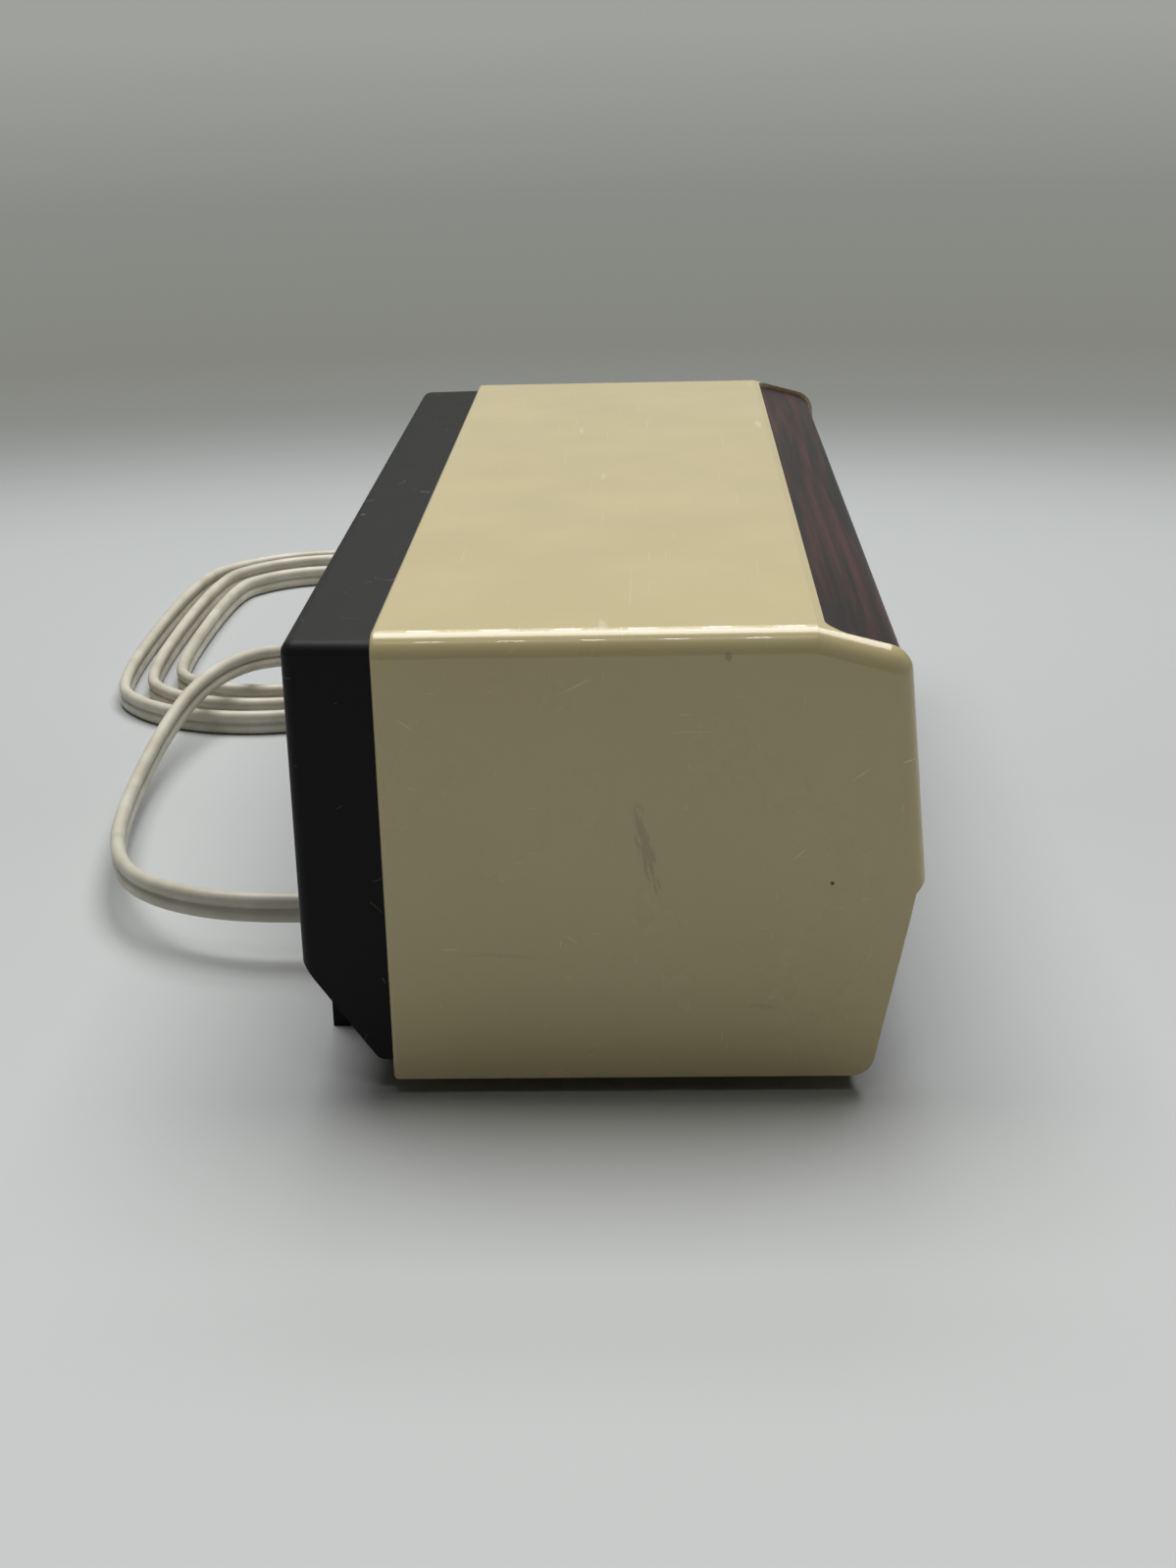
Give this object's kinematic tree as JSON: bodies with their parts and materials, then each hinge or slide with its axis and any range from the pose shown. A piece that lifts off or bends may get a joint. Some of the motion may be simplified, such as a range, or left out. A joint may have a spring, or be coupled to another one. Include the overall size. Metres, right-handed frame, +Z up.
{
  "type": "flip-number alarm clock",
  "caption": "Low wide mains alarm clock: cream housing, rosewood-pattern brow, black tapered back, flip-number display, loose ivory lead.",
  "frame": {"origin": "on the table, under the middle of the object's box (cabinet with its two side knobs), the lead left out", "axes": "+X to the knob side, the viewer's right; -Y the display side; +Z up"},
  "size_m": [0.3483, 0.1779, 0.075],
  "materials": {
    "cream_housing": "glossy moulded, cream",
    "woodgrain": "satin rosewood-pattern film",
    "smoked_window": "clear smoked acrylic",
    "black_plastic": "fine matte moulded",
    "black_gloss_trim": "satin black moulded",
    "silver_trim": "silver-painted",
    "zinc_steel": "zinc-plated sheet",
    "steel_shaft": "ground rod",
    "leaf_film": "matte black film with white numerals",
    "gear_plastic": "natural acetal",
    "brass_pinion": "machined",
    "motor_can": "plated can",
    "copper_coil": "taped winding",
    "neon_glass": "clear glass",
    "screw_steel": "zinc-plated",
    "rubber_feet": "moulded",
    "lead_vinyl": "ivory vinyl",
    "plug_vinyl": "ivory moulded vinyl",
    "plug_brass": "stamped blades"
  },
  "bodies": {
    "case": {"housing_shell": "cream_housing", "woodgrain_panel": "woodgrain", "display_lens": "smoked_window", "display_mask": "black_plastic", "chin_panel": "black_gloss_trim", "alarm_switch_base": "black_plastic", "rear_cover": "black_plastic", "cover_screws": "screw_steel", "front_feet": "rubber_feet", "chassis_tray": "zinc_steel", "tray_screws": "screw_steel", "left_plate": "zinc_steel", "middle_plate": "zinc_steel", "right_plate": "zinc_steel", "tie_bars": "steel_shaft", "drum_shaft": "steel_shaft", "motor": "motor_can", "alarm_bracket": "zinc_steel", "lamp_strip": "gear_plastic", "lamps": "neon_glass", "buzzer_coil": "copper_coil", "buzzer_reed": "zinc_steel", "terminal_block": "gear_plastic", "cord_bush": "lead_vinyl", "lead_free": "lead_vinyl", "lead_coil": "lead_vinyl", "plug_body": "plug_vinyl", "plug_blades": "plug_brass"},
    "hour_drum": {"hour_drum_hub": "gear_plastic", "hour_leaves": "leaf_film", "hour_lower_leaf": "leaf_film", "hour_wheel": "gear_plastic"},
    "hour_leaf": {"hour_upper_leaf": "leaf_film"},
    "minute_drum": {"minute_drum_hub": "gear_plastic", "minute_leaves": "leaf_film", "minute_lower_leaf": "leaf_film", "minute_wheel": "gear_plastic", "minute_transfer_pinion": "gear_plastic"},
    "minute_leaf": {"minute_upper_leaf": "leaf_film"},
    "transfer": {"transfer_wheel": "gear_plastic"},
    "motor_rotor": {"motor_pinion": "brass_pinion"},
    "time_setter": {"time_knob": "black_plastic", "time_spindle": "steel_shaft", "time_gear": "gear_plastic"},
    "alarm_setter": {"alarm_knob": "black_plastic", "alarm_spindle": "steel_shaft", "alarm_dial": "leaf_film"},
    "snooze": {"snooze_bar": "silver_trim"},
    "alarm_switch": {"alarm_switch_slider": "silver_trim"}
  },
  "joints": [
    {"name": "minute_drum_turn", "type": "hinge", "parent": "case", "child": "minute_drum", "pos_m": [0, -0.016, 0.0484], "axis": [1, 0, 0], "continuous": true},
    {"name": "hour_drum_turn", "type": "hinge", "parent": "case", "child": "hour_drum", "pos_m": [0, -0.016, 0.0484], "axis": [1, 0, 0], "continuous": true},
    {"name": "minute_leaf_fall", "type": "hinge", "parent": "minute_drum", "child": "minute_leaf", "pos_m": [0, -0.0259, 0.0484], "axis": [1, 0, 0], "range_deg": [0, 176]},
    {"name": "hour_leaf_fall", "type": "hinge", "parent": "hour_drum", "child": "hour_leaf", "pos_m": [0, -0.0259, 0.0484], "axis": [1, 0, 0], "range_deg": [0, 176]},
    {"name": "transfer_turn", "type": "hinge", "parent": "case", "child": "transfer", "pos_m": [0, 0.00279, 0.04156], "axis": [1, 0, 0], "continuous": true},
    {"name": "motor_turn", "type": "hinge", "parent": "case", "child": "motor_rotor", "pos_m": [0, 0.00937, 0.05865], "axis": [1, 0, 0], "continuous": true},
    {"name": "time_knob_turn", "type": "hinge", "parent": "case", "child": "time_setter", "pos_m": [0, 0.01046, 0.03055], "axis": [1, 0, 0], "continuous": true},
    {"name": "alarm_knob_turn", "type": "hinge", "parent": "case", "child": "alarm_setter", "pos_m": [0, -0.0236, 0.049], "axis": [1, 0, 0], "continuous": true},
    {"name": "snooze_press", "type": "slide", "parent": "case", "child": "snooze", "axis": [0, 1, 0], "range_m": [0, 0.002], "stiffness_N_per_m": 300, "springref_m": -0.001},
    {"name": "alarm_switch_slide", "type": "slide", "parent": "case", "child": "alarm_switch", "axis": [1, 0, 0], "range_m": [0, 0.005]}
  ],
  "couplings": [
    {"joint": "hour_drum_turn", "follows": "minute_drum_turn", "ratio": 0.041667},
    {"joint": "transfer_turn", "follows": "minute_drum_turn", "ratio": -0.25},
    {"joint": "motor_turn", "follows": "minute_drum_turn", "ratio": -5},
    {"joint": "time_knob_turn", "follows": "minute_drum_turn", "ratio": -2.5}
  ]
}
